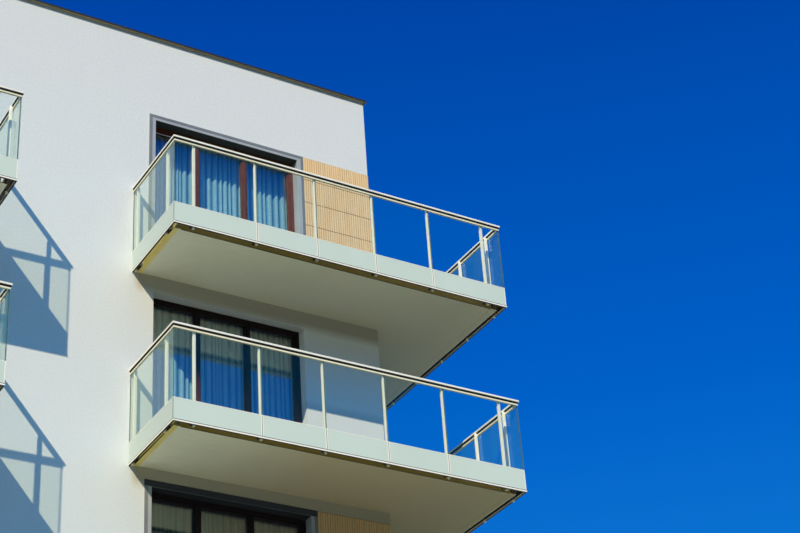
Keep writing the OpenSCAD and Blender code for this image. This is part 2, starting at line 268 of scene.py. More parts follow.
# %% Lay the floor
FLOOR_SIZE = 600
bpy.ops.mesh.primitive_plane_add(size=FLOOR_SIZE, location=(0, 0, -0.002))
floor = bpy.context.object
floor.name = "floor"
place = finish("floor", 0.9)
rays = node("LightPath").outputs
looking = sums("MAXIMUM", rays["Is Camera Ray"], rays["Is Glossy Ray"])
away = node("VectorMath", {0: place}, operation="LENGTH").outputs["Value"]
near, far = (0.355, 0.362, 0.200, 1), (0.02, 0.025, 0.018, 1)
lighting = mixed(spread(away, 12, 34), near, far)
surface(mixed(looking, lighting, (182, 184, 183)))
floor.data.materials.append(finishes["floor"])
floor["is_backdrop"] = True
print("floor:", FLOOR_SIZE, "m")

# %% [markdown]
# ## Finishes
#
# Each finish is named for its slot in the part's record. Nothing is one flat colour: render has a
# grain and faint patches, metal has a soft sheen and a little dirt, cloth has a weave.

# %% Mottled finishes
def mottled(name, first, second, scale, roughness=0.5, metallic=0.0, grain=0.0, grain_scale=300):
    """A finish of two close colours in soft patches, with a fine grain that can be felt."""
    place = finish(name, roughness, metallic)
    patches = spread(noise(place, scale, 3.0, 0.6), 0.35, 0.65)
    wear = spread(noise(place, scale * 4), 0.3, 0.7, roughness - 0.06, roughness + 0.06)
    shade({"Roughness": wear})
    height = noise(place, grain_scale, 2.0, 0.6) if grain else None
    surface(mixed(patches, first, second), height, grain)


mottled("floor_concrete", (146, 146, 142), (160, 159, 154), 1.5, 0.85, 0, 0.0008)
mottled("roof_covering", (92, 93, 95), (112, 112, 110), 2.0, 0.9, 0, 0.002, 180)
mottled("sill_stone", (190, 189, 184), (208, 207, 202), 14, 0.6, 0, 0.0006)
mottled("track_metal", (226, 226, 224), (236, 236, 234), 8, 0.4)
mottled("coping_metal", (112, 106, 84), (128, 121, 98), 3, 0.5, 0.2)
mottled("coping_rim", (10, 14, 12), (16, 20, 18), 3, 0.8)
mottled("coping_under", (174, 160, 126), (186, 172, 138), 3, 0.7)
mottled("rail_metal", (244, 241, 226), (250, 248, 236), 5, 0.38)
mottled("fitting_metal", (247, 243, 228), (253, 250, 238), 5, 0.42)
mottled("capping_cream", (232, 228, 196), (242, 238, 210), 5, 0.42)
# Black rubber, and the same black as painted shade under the rails and in the bolt slots.
mottled("black_rubber_and_shade", (20, 20, 19), (30, 30, 28), 20, 0.75)
mottled("dark_backing", (62, 50, 34), (76, 62, 42), 10, 0.9)
mottled("bright_steel", (176, 176, 170), (196, 196, 190), 30, 0.35, 0.9)
mottled("channel_shade", (40, 36, 20), (56, 50, 30), 8, 0.7)
mottled("glass_edge", (70, 100, 88), (86, 116, 102), 6, 0.3)
mottled("glass_back", (44, 42, 32), (54, 52, 40), 3, 0.6)
mottled("balcony_tile", (104, 98, 90), (122, 115, 105), 6, 0.6, 0, 0.0004)

# %% [markdown]
# ### Wall render
#
# Render is sprayed and floated by hand. Up close it is a grain of a few millimetres, and from
# far off it has faint patches a hand wide. The grain is bump, and the patches are colour. Lower
# down the coat is painted a little cooler, against the warm light that the floor throws up. Beside
# the window, under a balcony, the wall in shade gets painted light, a paler coat. Close under the
# slab it gets painted shade, a browner coat.

# %% Wall render
STACK_START, WINDOW_END, STACK_REAR = 4.9, 7.55, -1.5
place = finish("wall_render", 0.93)
x, y, z = node("SeparateXYZ", {0: place}).outputs
outward = sums("ABSOLUTE", x)
in_front = spread(y, STACK_REAR, STACK_REAR - 0.1)
in_stack = times(in_front, spread(outward, STACK_START, STACK_START + 0.1))
past_window = times(in_front, spread(outward, WINDOW_END, WINDOW_END + 0.05))
flecks = clouds(place, 32, 3.0, 0.7)
coat = mixed(flecks, (211, 217, 217), (229, 233, 231))
patches = clouds(place, 2.2, 4.0, 0.6)
coat = mixed(times(patches, 0.35), coat, (215, 220, 221))
# Painted light: lower down the coat is cooler, against the warm light from the floor.
coat = mixed(times(spread(z, 18, 10), 0.5), coat, (203, 222, 231))
# Painted light: the wall in shade beside the window, under a balcony, gets a paler coat.
painted_fill_light = times(past_window, over_floor(1.1, 1.25))
coat = mixed(painted_fill_light, coat, (244, 252, 253))
# Painted shade: a browner coat close under each slab.
painted_slab_shade = times(in_stack, over_floor(2.35, 2.5))
coat = mixed(painted_slab_shade, coat, (189, 185, 172))
surface(coat, noise(place, 240, 3.0, 0.7), 0.0015)

# %% [markdown]
# ### Balcony concrete
#
# The slabs are one node, painted underneath and screeded on top, so one finish serves both: the
# surface's own direction tells the soffit from the top. Board marks and damp show faintly below.
# The soffit gets painted shade, greyer towards the corner of the block, the more so on the lower
# floors.

# %% Balcony concrete
place = finish("balcony_concrete", 0.85)
up = component(node("NewGeometry").outputs["True Normal"], "Z")
outward = sums("ABSOLUTE", component(place, "X"))
height = component(place, "Z")
damp = clouds(place, 1.3, 4.0, 0.6)
boards = clouds(place_on((1, 9, 1)), 5)
soffit = mixed(damp, (250, 246, 218), (255, 252, 230))
soffit = mixed(times(boards, 0.3), soffit, (230, 225, 198))
# Painted shade: the soffit greys towards the corner, the more so on the lower floors.
low_down, high_up = spread(height, 13.5, 13.0), spread(height, 13.0, 13.5)
soffit = mixed(times(low_down, spread(outward, 5.5, 7.2)), soffit, (228, 214, 180))
painted_corner_shade = mixed(high_up, (190, 178, 148), (208, 202, 180))
soffit = mixed(spread(outward, 6.0, 9.6), soffit, painted_corner_shade)
whole = mixed(spread(up, -0.5, 0.5), soffit, (112, 106, 98))
surface(whole, noise(place, 160, 3.0), 0.001)

# %% [markdown]
# ### Brown frames
#
# The frames are dark brown with a fine grain along their length. The grain is a noise stretched
# upright, because the uprights are what shows. Below the top row a balcony hangs over each storey,
# and there the upper half of a unit gets painted shade, nearly black. So the colour is mixed by
# height, and by the height over each floor. The entrance door is the same wood, with a milder
# painted shade.

# %% Brown frames
def brown_wood(name, dark, light, roughness, painted_shade_colour):
    finish(name, roughness)
    lines = noise(place_on((90, 90, 4)), 2.0, 3.0, 0.6)
    colour = mixed(spread(lines, 0.35, 0.65), dark, light)
    # Painted shade on the upper half of each unit below the top row.
    colour = mixed(over_floor(0.8, 1.5), colour, painted_shade_colour)
    surface(colour, lines, 0.0004)
    shade({"Specular IOR Level": 0.15})


brown_wood("frame_wood", (76, 36, 16), (116, 64, 36), 0.5, (26, 15, 11))
brown_wood("door_wood", (82, 42, 24), (108, 62, 38), 0.4, (64, 35, 22))

# %% [markdown]
# ### Grey band, gold channel and tan boards
#
# The band round a unit is folded satin sheet. The slab channels are yellow-chromated steel, with
# blotches where the coat is thicker. The boards beside the units are fired clay with sandy flecks.

# %% Satin sheets
def satin_sheet(name, first, second, roughness, metallic):
    place = finish(name, roughness, metallic)
    cloud = clouds(place, 3.0, 3.0)
    streaks = times(clouds(place_on((30, 30, 1.5)), 3.0), 0.25)
    colour = mixed(cloud, first, second)
    surface(mixed(streaks, colour, first))
    shade({"Roughness": spread(cloud, 0, 1, roughness - 0.05, roughness + 0.05)})


satin_sheet("band_paint", (160, 168, 173), (172, 180, 183), 0.6, 0.05)
satin_sheet("band_edge", (114, 121, 126), (126, 133, 136), 0.6, 0.05)
satin_sheet("band_shade", (34, 38, 32), (46, 51, 44), 0.7, 0.0)
satin_sheet("band_dark", (16, 18, 17), (24, 26, 25), 0.7, 0.0)
satin_sheet("channel_metal", (224, 182, 80), (238, 200, 112), 0.5, 0.05)
satin_sheet("channel_side", (186, 172, 84), (200, 188, 112), 0.5, 0.05)
satin_sheet("channel_flange", (248, 224, 124), (255, 234, 152), 0.5, 0.05)

# %% Tan boards
place = finish("cladding_tile", 0.85)
fired = clouds(place_on((26, 26, 2)), 1.0)
sandy = spread(noise(place, 90, 3.0, 0.7), 0.35, 0.65)
clay = mixed(fired, (232, 198, 146), (242, 214, 168))
clay = mixed(times(sandy, 0.3), clay, (214, 178, 122))
surface(clay, noise(place, 300), 0.0008)

# %% [markdown]
# ### Curtain cloth
#
# The curtains are a fine white voile. Its weave runs with the cloth's own map. The cloth gets
# painted shade in the hollow of a fold. The curtain's mesh carries that as an attribute named
# fold, from 0 near the window to 1 in the hollows. From the fourth storey down, under the
# balconies, the upper half of the cloth gets painted shade too, nearly black.

# %% Curtain cloth
UPPER_SHADE_BELOW = 11.9        # below this level the upper half of the cloth gets painted shade
place = finish("curtain_cloth", 0.95)
cloth_map = node("TexCoord").outputs["UV"]
weave = node("Mapping", {"Vector": cloth_map, "Scale": (900, 900, 1)}).outputs[0]
threads = node("TexWave", {"Vector": weave, "Scale": 1.0}, wave_type="BANDS").outputs[1]
cloth = mixed(clouds(place, 5), (218, 230, 233), (229, 239, 241))
# Painted shade: the cloth is greyer in the hollow of each fold.
fold = node("Attribute", attribute_name="fold").outputs["Fac"]
cloth = mixed(spread(fold, 0.45, 1.0), cloth, (118, 156, 172))
# Painted shade on the upper half of the cloth, under the balconies.
painted_upper_shade = times(over_floor(0.9, 1.6, UPPER_SHADE_BELOW), 0.72)
surface(mixed(painted_upper_shade, cloth, (20, 20, 18)), threads, 0.0002, 0.5)
shade({"Sheen Weight": 0.2})

# %% [markdown]
# ### Glass
#
# Clear glass is mostly a hole with a tint. At a slant it turns into a mirror, which the fifth
# power of the facing value gives, as Schlick's rule says. Window glass mirrors more, because a
# double pane has four faces. The panes of the balustrade also carry a thin film, a painted
# reflection of the bluish sky with some dust, which shows where the sun strikes it. Looked along,
# the glass is greener, and the film turns greener and shows more. Cut edges are greener still.
# The frosted panes are a pale satin in front, with painted shade on their sides, and dark behind.

# %% Clear glass
def glass(name, tint, slanting, mirror, film=0.0):
    """A pane: its tint seen squarely and at a slant, its least mirror and its film, which is
    painted reflection of the sky with some dust.
    """
    finish(name)
    graph["tree"].nodes.clear()
    smear = spread(noise(place_on(), 1.7), 0.3, 0.7, 0.96, 1.0)
    slant = node("LayerWeight", {"Blend": 0.5}).outputs["Facing"]
    along = spread(slant, 0.32, 0.5)
    through = node("BsdfTransparent", {"Color": mixed(along, tint, slanting)})
    shine = node("BsdfGlossy", {"Color": (1, 1, 1, 1), "Roughness": 0.02})
    mirrored = sums("MULTIPLY_ADD", sums("POWER", slant, 5), 1 - mirror, mirror)
    mirrored = times(mirrored, smear)
    both = node("MixShader", {0: mirrored, 1: through.outputs[0], 2: shine.outputs[0]})
    # The film is painted reflection of the sky: bluish seen squarely, greener with dust along.
    if film:
        haze = mixed(along, (0, 188, 243), (100, 195, 175))
        sky_and_dust = node("BsdfDiffuse", {"Color": haze})
        sky_and_dust_share = spread(slant, 0.32, 0.5, film, 0.045)
        both = node("MixShader", {0: sky_and_dust_share, 1: both.outputs[0], 2: sky_and_dust.outputs[0]})
    node("OutputMaterial", {"Surface": both.outputs[0]})


glass("clear_glass", (0.965, 0.99, 0.985, 1), (0.97, 0.99, 0.955, 1), 0.012, 0.012)
glass("window_glass", (0.84, 0.97, 0.98, 1), (0.84, 0.97, 0.98, 1), 0.19)

# %% Frosted glass
place = finish("frosted_glass", 0.42)
frost = mixed(clouds(place, 0.9), (205, 221, 207), (211, 227, 214))
# Painted shade: panes that look sideways get a darker tone.
across = component(node("NewGeometry").outputs["True Normal"], "X")
sideways_shade = spread(sums("ABSOLUTE", across), 0.3, 0.7)
frost = mixed(sideways_shade, frost, (192, 207, 199))
surface(frost, noise(place, 500, 1.0), 0.0002)
shade({"Coat Weight": 0.1, "Coat Roughness": 0.15})

# %% Finish the solids
for part in frame["record"]["subparts"]:
    mesh = frame["nodes"][part["node"]].data
    mesh.materials.clear()
    mesh.materials.append(finishes[part["material_slot"]])

# %% [markdown]
# ## Helpers for pieces
#
# Every piece starts from a cube, a cylinder or a grid at its real size and is shaped with the same
# tools as by hand. An operator acts on all that is selected, so each helper first selects only
# what it needs: `pick` selects faces or edges by their place or direction, and leaves edit mode
# open for what comes next, and `done` closes it.

# %% Select, move and draw out
def select_only(*pieces):
    bpy.ops.object.select_all(action="DESELECT")
    for piece in pieces:
        piece.select_set(True)
    bpy.context.view_layer.objects.active = pieces[0]


def pick(piece, wanted, edges=False):
    select_only(piece)
    bpy.ops.object.mode_set(mode="EDIT")
    bpy.ops.mesh.select_mode(type="EDGE" if edges else "FACE")
    bpy.ops.mesh.select_all(action="DESELECT")
    bpy.ops.object.mode_set(mode="OBJECT")
    points = piece.data.vertices
    if edges:
        for edge in piece.data.edges:
            edge.select = wanted(*[points[i].co for i in edge.vertices])
    else:
        for face in piece.data.polygons:
            face.select = wanted(face.center, face.normal)
    bpy.ops.object.mode_set(mode="EDIT")


def done():
    bpy.ops.object.mode_set(mode="OBJECT")


def move(x, y, z):
    bpy.ops.transform.translate(value=(x, y, z))


def inset(thickness, **settings):
    bpy.ops.mesh.inset(thickness=thickness, **settings)


def draw_out(z):
    bpy.ops.mesh.extrude_region_move(TRANSFORM_OT_translate={"value": (0, 0, z)})


def cut_at(piece, place, way, **settings):
    """Cuts all through a piece by a plane."""
    pick(piece, lambda place, normal: True)
    bpy.ops.mesh.bisect(plane_co=place, plane_no=way, **settings)
    done()


# %% Start and soften
def block(name, low, high):
    """A block between two corners, with its place in its mesh."""
    bpy.ops.mesh.primitive_cube_add(size=1, location=[(a + b) / 2 for a, b in zip(low, high)])
    piece = bpy.context.object
    piece.name = name
    piece.scale = [b - a for a, b in zip(low, high)]
    bpy.ops.object.transform_apply()
    return piece


def cylinder(sides, radius, depth, place, rotation=(0, 0, 0)):
    """A cylinder with its place in its mesh."""
    bpy.ops.mesh.primitive_cylinder_add(
        vertices=sides, radius=radius, depth=depth, location=place, rotation=rotation
    )
    bpy.ops.object.transform_apply()
    return bpy.context.object


def modified(piece, kind, **settings):
    """Applies a modifier with its settings."""
    select_only(piece)
    modifier = piece.modifiers.new("step", kind)
    for name, value in settings.items():
        setattr(modifier, name, value)
    bpy.ops.object.modifier_apply(modifier="step")
    return piece


def soften(piece, width, segments=1):
    """Rounds the sharp edges a little, so that they catch the light."""
    return modified(piece, "BEVEL", width=width, segments=segments, limit_method="ANGLE")


def arrayed(piece, count, step):
    """Sets a piece beside itself, each copy a step further."""
    modified(piece, "ARRAY", count=count, use_relative_offset=False, use_constant_offset=True,
        constant_offset_displace=step)


# %% Cut a frame
def framed(name, outer, hole, front, back):
    """A frame standing in a wall: a block whose front and back are inset and bridged through."""
    piece = block(name, (outer[0], front, outer[2]), (outer[1], back, outer[3]))
    side = 0.2 * min(outer[1] - outer[0], outer[3] - outer[2])
    pick(piece, lambda place, normal: abs(normal.y) > 0.5)
    inset(side, use_individual=True)
    middle = ((outer[0] + outer[1]) / 2, (front + back) / 2, (outer[2] + outer[3]) / 2)
    wide = (hole[1] - hole[0]) / (outer[1] - outer[0] - 2 * side)
    tall = (hole[3] - hole[2]) / (outer[3] - outer[2] - 2 * side)
    bpy.ops.transform.resize(value=(wide, 1, tall), center_override=middle)
    move((hole[0] + hole[1]) / 2 - middle[0], 0, (hole[2] + hole[3]) / 2 - middle[2])
    bpy.ops.mesh.bridge_edge_loops()
    done()
    return piece


# %% Coat, join and copy
def coated(slot, *pieces):
    """The pieces as a list, each with one finish."""
    for piece in pieces:
        piece.data.materials.clear()
        piece.data.materials.append(finishes[slot])
    return list(pieces)


def toned(piece, names, tone_of):
    """Gives a piece several finishes, and each face the number of its own."""
    piece.data.materials.clear()
    for name in names:
        piece.data.materials.append(finishes[name])
    for face in piece.data.polygons:
        face.material_index = tone_of(face)


def joined(name, pieces):
    select_only(*pieces)
    if len(pieces) > 1:
        bpy.ops.object.join()
    piece = bpy.context.object
    piece.name = name
    return piece


def copied(name, pattern, places):
    """One piece of a copy at each place. A mirrored copy is turned right way out."""
    copies = []
    for place in places:
        copy = new_object(name, pattern.data.copy())
        copy.data.transform(place)
        if place.determinant() < 0:
            copy.data.flip_normals()
        copies.append(copy)
    return joined(name, copies)


def scrap(*patterns):
    for pattern in patterns:
        bpy.data.objects.remove(pattern)


# %% Hand a piece over
def hand_over(piece, slot, *nodes):
    """Gives a finished piece its finish, its body and the solid it stands for."""
    if not piece.data.materials:
        piece.data.materials.append(finishes[slot])
    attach(piece, "root")
    if nodes:
        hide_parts(*nodes)
    print(piece.name, "faces:", len(piece.data.polygons))


def repeated(name, pattern, places, slot, *nodes):
    """Copies a pattern to its places, hands the copies over and scraps the pattern."""
    hand_over(copied(name, pattern, places), slot, *nodes)
    scrap(pattern)


def dressed(name, solid, width, segments=1):
    """A copy of a solid, merged, with its edges rounded."""
    piece = new_object(name, frame["nodes"][solid].data.copy())
    pick(piece, lambda place, normal: True)
    bpy.ops.mesh.remove_doubles(threshold=0.0001)
    bpy.ops.mesh.dissolve_limited(angle_limit=0.01)
    done()
    return soften(piece, width, segments)


# %% [markdown]
# ## Where things stand
#
# Every wall has its own frame: x to the right seen from outside, y into the wall. A window is
# drawn once in such a frame, and these lists say where its copies go. The units beside a corner
# are mirrored on some walls, so that their fixed light lies on the far side.

# %% Walls and floors
WALL_X, WALL_Y = 8.85, 6.0
FLOORS = [GROUND + STOREY * storey for storey in range(6)]
MIRROR = Matrix.Scale(-1, 4, (1, 0, 0))


def shifted(x, y=0, z=0):
    return Matrix.Translation((x, y, z))


def turned(degrees):
    return Matrix.Rotation(math.radians(degrees), 4, "Z")


FRONT_WALL = shifted(0, -WALL_Y)
BACK_WALL = shifted(0, WALL_Y) @ turned(180)
RIGHT_WALL = shifted(WALL_X) @ turned(90)
LEFT_WALL = MIRROR @ RIGHT_WALL
print("floors at", FLOORS)

# %% Openings
REVEAL, FRAME_BACK = 0.150, 0.210
UNIT_WIDTH, WINDOW_WIDTH = 2.375, 1.5
HEAD, SILL = 2.42, 0.90
UNIT_X, SIDE_UNIT, SIDE_WINDOW, BACK_PITCH = 6.4025, -3.5525, 2.7, 3.3


def unit_places(storey):
    up = shifted(0, 0, FLOORS[storey - 1] + (SILL if storey == 1 else 0))
    return [
        FRONT_WALL @ up @ shifted(-UNIT_X) @ MIRROR,
        FRONT_WALL @ up,
        FRONT_WALL @ up @ shifted(UNIT_X),
        RIGHT_WALL @ up @ shifted(SIDE_UNIT) @ MIRROR,
        LEFT_WALL @ up @ shifted(SIDE_UNIT) @ MIRROR,
    ]


def window_places(storey):
    up = shifted(0, 0, FLOORS[storey - 1] + SILL)
    places = [wall @ up @ shifted(SIDE_WINDOW) for wall in (RIGHT_WALL, LEFT_WALL)]
    for step in range(-2, 3):
        if step or storey > 1:
            places.append(BACK_WALL @ up @ shifted(step * BACK_PITCH))
    return places


tall_units = [place for storey in range(2, 7) for place in unit_places(storey)]
low_units = unit_places(1)
plain_windows = [place for storey in range(1, 7) for place in window_places(storey)]
print("units:", len(tall_units), len(low_units), "plain windows:", len(plain_windows))

# %% [markdown]
# ## Frames
#
# A real unit is an outer frame with sashes hung in it. Each sash steps back twice to its glass:
# first to the bead that holds the pane, then to a black gasket. These steps give the thin lines
# that make a window look real, so every ring is its own frame, cut by inset and bridge.

# %% One light
STEP, GASKET = 0.014, 0.005


def grown(light, by):
    return (light[0] - by, light[1] + by, light[2] - by, light[3] + by)


def sash(outer, light, front):
    """A sash ring with its bead and gasket, for one light given as left, right, low, high."""
    ring = framed("sash", outer, grown(light, STEP), front, FRAME_BACK - 0.002)
    bead = framed("bead", grown(light, STEP), light, REVEAL + 0.020, FRAME_BACK - 0.003)
    seal = framed("seal", light, grown(light, -GASKET), FRAME_BACK - 0.012, FRAME_BACK - 0.001)
    wood = coated("frame_wood", soften(ring, 0.003), soften(bead, 0.003))
    return wood + coated("black_rubber_and_shade", seal)


def outer_frame(half, tall, left, right):
    """The frame that stands in the wall. Its head and foot are as wide as its right side."""
    outer = (-half, half, 0, tall)
    hole = (-half + left, half - right, right, tall - right)
    return soften(framed("outer", outer, hole, REVEAL, FRAME_BACK), 0.004)


# %% A three-light unit
LIGHTS = [(-1.1335, -0.4825), (-0.3875, 0.3050), (0.4000, 1.0925)]
SASHES = [(-1.1365, -0.4835), (-0.4335, 0.3505), (0.3545, 1.1385)]
FRAME_EDGE, SASH_EDGE, COVER_EDGE = 0.045, 0.049, 0.052


def unit_frame(name, tall):
    """A frame with one fixed light on the left, and two sashes with a cover over their joint."""
    low, high = 0.110, tall - 0.100
    cover_high, cover_front = tall - COVER_EDGE, REVEAL + 0.002
    outer = outer_frame(UNIT_WIDTH / 2, tall, 0.050, FRAME_EDGE)
    post = block("post", (-0.4825, REVEAL, FRAME_EDGE), (-0.4375, FRAME_BACK, tall - FRAME_EDGE))
    cover = block("cover", (0.3425, cover_front, COVER_EDGE), (0.3625, REVEAL + 0.012, cover_high))
    pieces = coated("frame_wood", outer, soften(post, 0.003), soften(cover, 0.004))
    for number, ((left, right), (start, end)) in enumerate(zip(LIGHTS, SASHES)):
        front = REVEAL + (0.008 if number else 0.012)
        pieces += sash((start, end, SASH_EDGE, tall - SASH_EDGE), (left, right, low, high), front)
        drip = block("drip", (left, REVEAL + 0.012, high), (right, REVEAL + 0.022, high + 0.007))
        bar = block("bar", (start + 0.01, REVEAL - 0.012, 0.062), (end - 0.01, front, 0.084))
        pieces += coated("track_metal", drip) + coated("frame_wood", soften(bar, 0.005))
    return joined(name, pieces)


tall_pattern = unit_frame("tall_pattern", HEAD)
tall_frames = copied("tall_frames", tall_pattern, tall_units)
tones = tall_frames.data.materials
brown, white = (tones.find(finishes[name].name) for name in ("frame_wood", "track_metal"))
# Below the top row the pale drips take the frame's brown, as painted shade.
for face in tall_frames.data.polygons:
    if face.material_index == white and face.center.z < FLOORS[5]:
        face.material_index = brown
hand_over(tall_frames, "frame_wood", "balcony_door_frames")
scrap(tall_pattern)
low_pattern = unit_frame("low_pattern", HEAD - SILL)
repeated("low_frames", low_pattern, low_units, "frame_wood", "balcony_door_frames")

# %% A plain window
def window_frame(name):
    tall = HEAD - SILL
    outer = outer_frame(WINDOW_WIDTH / 2, tall, 0.035, 0.035)
    cover = block("cover", (-0.012, REVEAL + 0.002, 0.042), (0.012, REVEAL + 0.012, tall - 0.042))
    pieces = coated("frame_wood", outer, soften(cover, 0.004))
    for way in (-1, 1):
        leaf = (*sorted((way * 0.002, way * 0.711)), 0.039, tall - 0.039)
        light = (*sorted((way * 0.0375, way * 0.675)), 0.075, tall - 0.075)
        pieces += sash(leaf, light, REVEAL + 0.008)
    return joined(name, pieces)


window_pattern = window_frame("window_pattern")
repeated("plain_frames", window_pattern, plain_windows, "frame_wood", "window_frames")

# %% [markdown]
# ## Entrance door
#
# The door is joinery: two stiles and three rails hold two raised panels. Each bar is a block with
# soft edges. A panel's field is raised from its front by two insets and a move, and the slope
# between the insets is its margin.

# %% Door bars
LEAF_FRONT, LEAF_BACK = REVEAL + 0.012, FRAME_BACK - 0.004
FRAME_BARS = [
    (-0.750, -0.675, 0, HEAD), (0.675, 0.750, 0, HEAD), (0.285, 0.360, 0, 2.100),
    (-0.675, 0.675, 2.345, HEAD), (-0.675, 0.675, 2.100, 2.175), (0.360, 0.675, 0, 0.075),
]
LEAF_BARS = [
    (-0.671, -0.525, 0.004, 2.096), (0.135, 0.281, 0.004, 2.096), (-0.525, 0.135, 0.004, 0.150),
    (-0.525, 0.135, 0.975, 1.125), (-0.525, 0.135, 1.950, 2.096),
]
WEATHER_BAR = (-0.655, 0.265, 0.020, 0.050)
DOOR_LIGHTS = [(0.360, 0.675, 0.075, 2.100), (-0.675, 0.675, 2.175, 2.345)]


def bar_of(sides, front=REVEAL, back=FRAME_BACK, rounding=0.003):
    left, right, low, high = sides
    return soften(block("bar", (left, front, low), (right, back, high)), rounding)


pieces = [bar_of(sides) for sides in FRAME_BARS]
pieces += [bar_of(sides, LEAF_FRONT, LEAF_BACK) for sides in LEAF_BARS]
pieces.append(bar_of(WEATHER_BAR, LEAF_FRONT - 0.022, LEAF_FRONT, 0.008))
print("door bars:", len(pieces))

# %% Door panels and lights
MOULDING = 0.016
for low, high in ((0.150, 0.975), (1.125, 1.950)):
    edge = (-0.525, 0.135, low, high)
    inner = grown(edge, -MOULDING)
    moulding = framed("moulding", edge, inner, LEAF_FRONT + 0.004, LEAF_BACK)
    pieces.append(soften(moulding, 0.003))
    left, right, low, high = inner
    panel = block("panel", (left, LEAF_FRONT + MOULDING, low), (right, LEAF_BACK, high))
    pick(panel, lambda place, normal: normal.y < -0.5)
    inset(0.018)
    inset(0.040)
    move(0, -0.010, 0)
    done()
    pieces.append(panel)
pieces = coated("door_wood", *pieces)
for light in DOOR_LIGHTS:
    inner = grown(light, -0.012)
    bead = framed("bead", light, inner, REVEAL + 0.016, FRAME_BACK - 0.003)
    seal = framed("seal", inner, grown(light, -0.017), REVEAL + 0.018, FRAME_BACK - 0.004)
    pieces += coated("door_wood", soften(bead, 0.003)) + coated("black_rubber_and_shade", seal)
print("door parts:", len(pieces))

# %% Door fittings
def rod(radius, start, end):
    """A round bar between two points, along one of the axes."""
    start, end = Vector(start), Vector(end)
    along = end - start
    lying = along.to_track_quat("Z", "Y").to_euler()
    return soften(cylinder(16, radius, along.length, (start + end) / 2, lying), 0.1 * radius)


PLATE_FRONT, HANDLE_FRONT = LEAF_FRONT - 0.003, LEAF_FRONT - 0.045
HANDLE_X, HANDLE_Z, HINGE_X, HINGE_Y = 0.211, 1.100, -0.673, LEAF_FRONT - 0.007
handle_plate = block("plate", (0.190, LEAF_FRONT - 0.004, 0.930), (0.232, LEAF_FRONT, 1.170))
fittings = [
    soften(handle_plate, 0.002, 2),
    rod(0.010, (HANDLE_X, LEAF_FRONT - 0.050, HANDLE_Z), (HANDLE_X, PLATE_FRONT, HANDLE_Z)),
    rod(0.009, (0.215, HANDLE_FRONT, HANDLE_Z), (0.085, HANDLE_FRONT, HANDLE_Z)),
    rod(0.009, (HANDLE_X, LEAF_FRONT - 0.008, 1.000), (HANDLE_X, PLATE_FRONT, 1.000)),
    soften(block("plate", (-0.670, 0.002, 0.0005), (0.280, LEAF_BACK, 0.0035)), 0.001),
]
for z in (0.25, 1.05, 1.85):
    fittings.append(rod(0.009, (HINGE_X, HINGE_Y, z - 0.05), (HINGE_X, HINGE_Y, z + 0.05)))
door = joined("door", pieces + coated("bright_steel", *fittings))
repeated("entrance", door, [BACK_WALL @ shifted(0, 0, FLOORS[0])], "door_wood", "entrance_door")

# %% [markdown]
# ## Bands and sills
#
# The grey band is one folded sheet: its outer half stands proud of its inner half, and it turns
# into the opening. The solid already has that fold, so a copy of it is merged and its edges are
# rounded. The outer half is a darker tone. The lining under the head gets painted shade, and a
# head that a balcony shelters gets painted shade that is nearly black, so the band is bisected
# where such a head starts.

# %% Grey bands
LINING, OUTER_HALF = -0.01, 0.0085        # limits of how far a face stands proud of the wall
bands = dressed("bands", "surrounds", 0.002)
for level in (FLOORS[1], FLOORS[3]):
    cut_at(bands, (0, 0, level + HEAD - 0.001), (0, 0, 1))


def band_tone(face):
    proud = max(abs(face.center.x) - WALL_X, abs(face.center.y) - WALL_Y)
    # Painted shade: nearly black on a head that a balcony shelters, dark on the lining under a
    # head.
    if face.center.z < FLOORS[5] and (face.center.z - GROUND) % STOREY > HEAD - 0.01:
        return 3
    lining = face.normal.z < -0.5 and proud < LINING
    return 2 if lining else 1 if proud > OUTER_HALF else 0


toned(bands, ("band_paint", "band_edge", "band_shade", "band_dark"), band_tone)
hand_over(bands, "band_paint", "surrounds")

# %% [markdown]
# ### Plates and sills
#
# A folded plate sheds rain off each threshold, and a stone sill lies under each plain window. A
# block with rounded edges gives the plate, and the sills are merged copies of their solid.

# %% Threshold plates and sills
half = UNIT_WIDTH / 2 - 0.006
plate = soften(block("plate", (-half, -0.010, 0.0005), (half, REVEAL, 0.012)), 0.003)
repeated("threshold_plates", plate, tall_units, "track_metal")
hand_over(dressed("sills", "window_sills", 0.004, 2), "sill_stone", "window_sills")

# %% [markdown]
# ## Tan boards
#
# The clay boards are narrow and upright, with an open groove between each two, on a dark backing.
# One board is modelled and an Array modifier sets it beside itself, then each course is a copy.

# %% Boards
BOARDS, CLAD_WIDTH, CLAD_DEPTH, BACKING, GROOVE = 30, 1.16, 0.012, 0.0025, 0.0035
COURSES, COURSE_PITCH, COURSE_GAP = 6, 2.51 / 6, 0.008
board_pitch = CLAD_WIDTH / BOARDS
board = block(
    "board",
    (GROOVE, -CLAD_DEPTH, 0),
    (board_pitch - GROOVE, -BACKING, COURSE_PITCH - COURSE_GAP),
)
arrayed(soften(board, 0.0015), BOARDS, (board_pitch, 0, 0))
backing = block("backing", (0, -BACKING, 0), (CLAD_WIDTH, -0.0002, COURSE_PITCH))
course = joined("course", coated("cladding_tile", board) + coated("dark_backing", backing))
print("boards in a course:", BOARDS)

# %% Courses
course_places = []
for storey in (2, 4, 6):
    for number in range(COURSES):
        up = shifted(0, 0, FLOORS[storey - 1] + number * COURSE_PITCH)
        for side in (Matrix.Identity(4), MIRROR):
            course_places.append(side @ FRONT_WALL @ up @ shifted(WALL_X - CLAD_WIDTH))
            course_places.append(side @ RIGHT_WALL @ up @ shifted(-WALL_Y))
repeated("boards", course, course_places, "cladding_tile", "cladding")

# %% [markdown]
# ## Balustrades
#
# Rails, cappings and channels all run along the open edges of a balcony, as straight bars mitred
# at the corners. `edge_bars` makes one such bar on every edge from its section, so each member of
# the balustrade is one call. The right stack is modelled, and the left one is its mirror image.

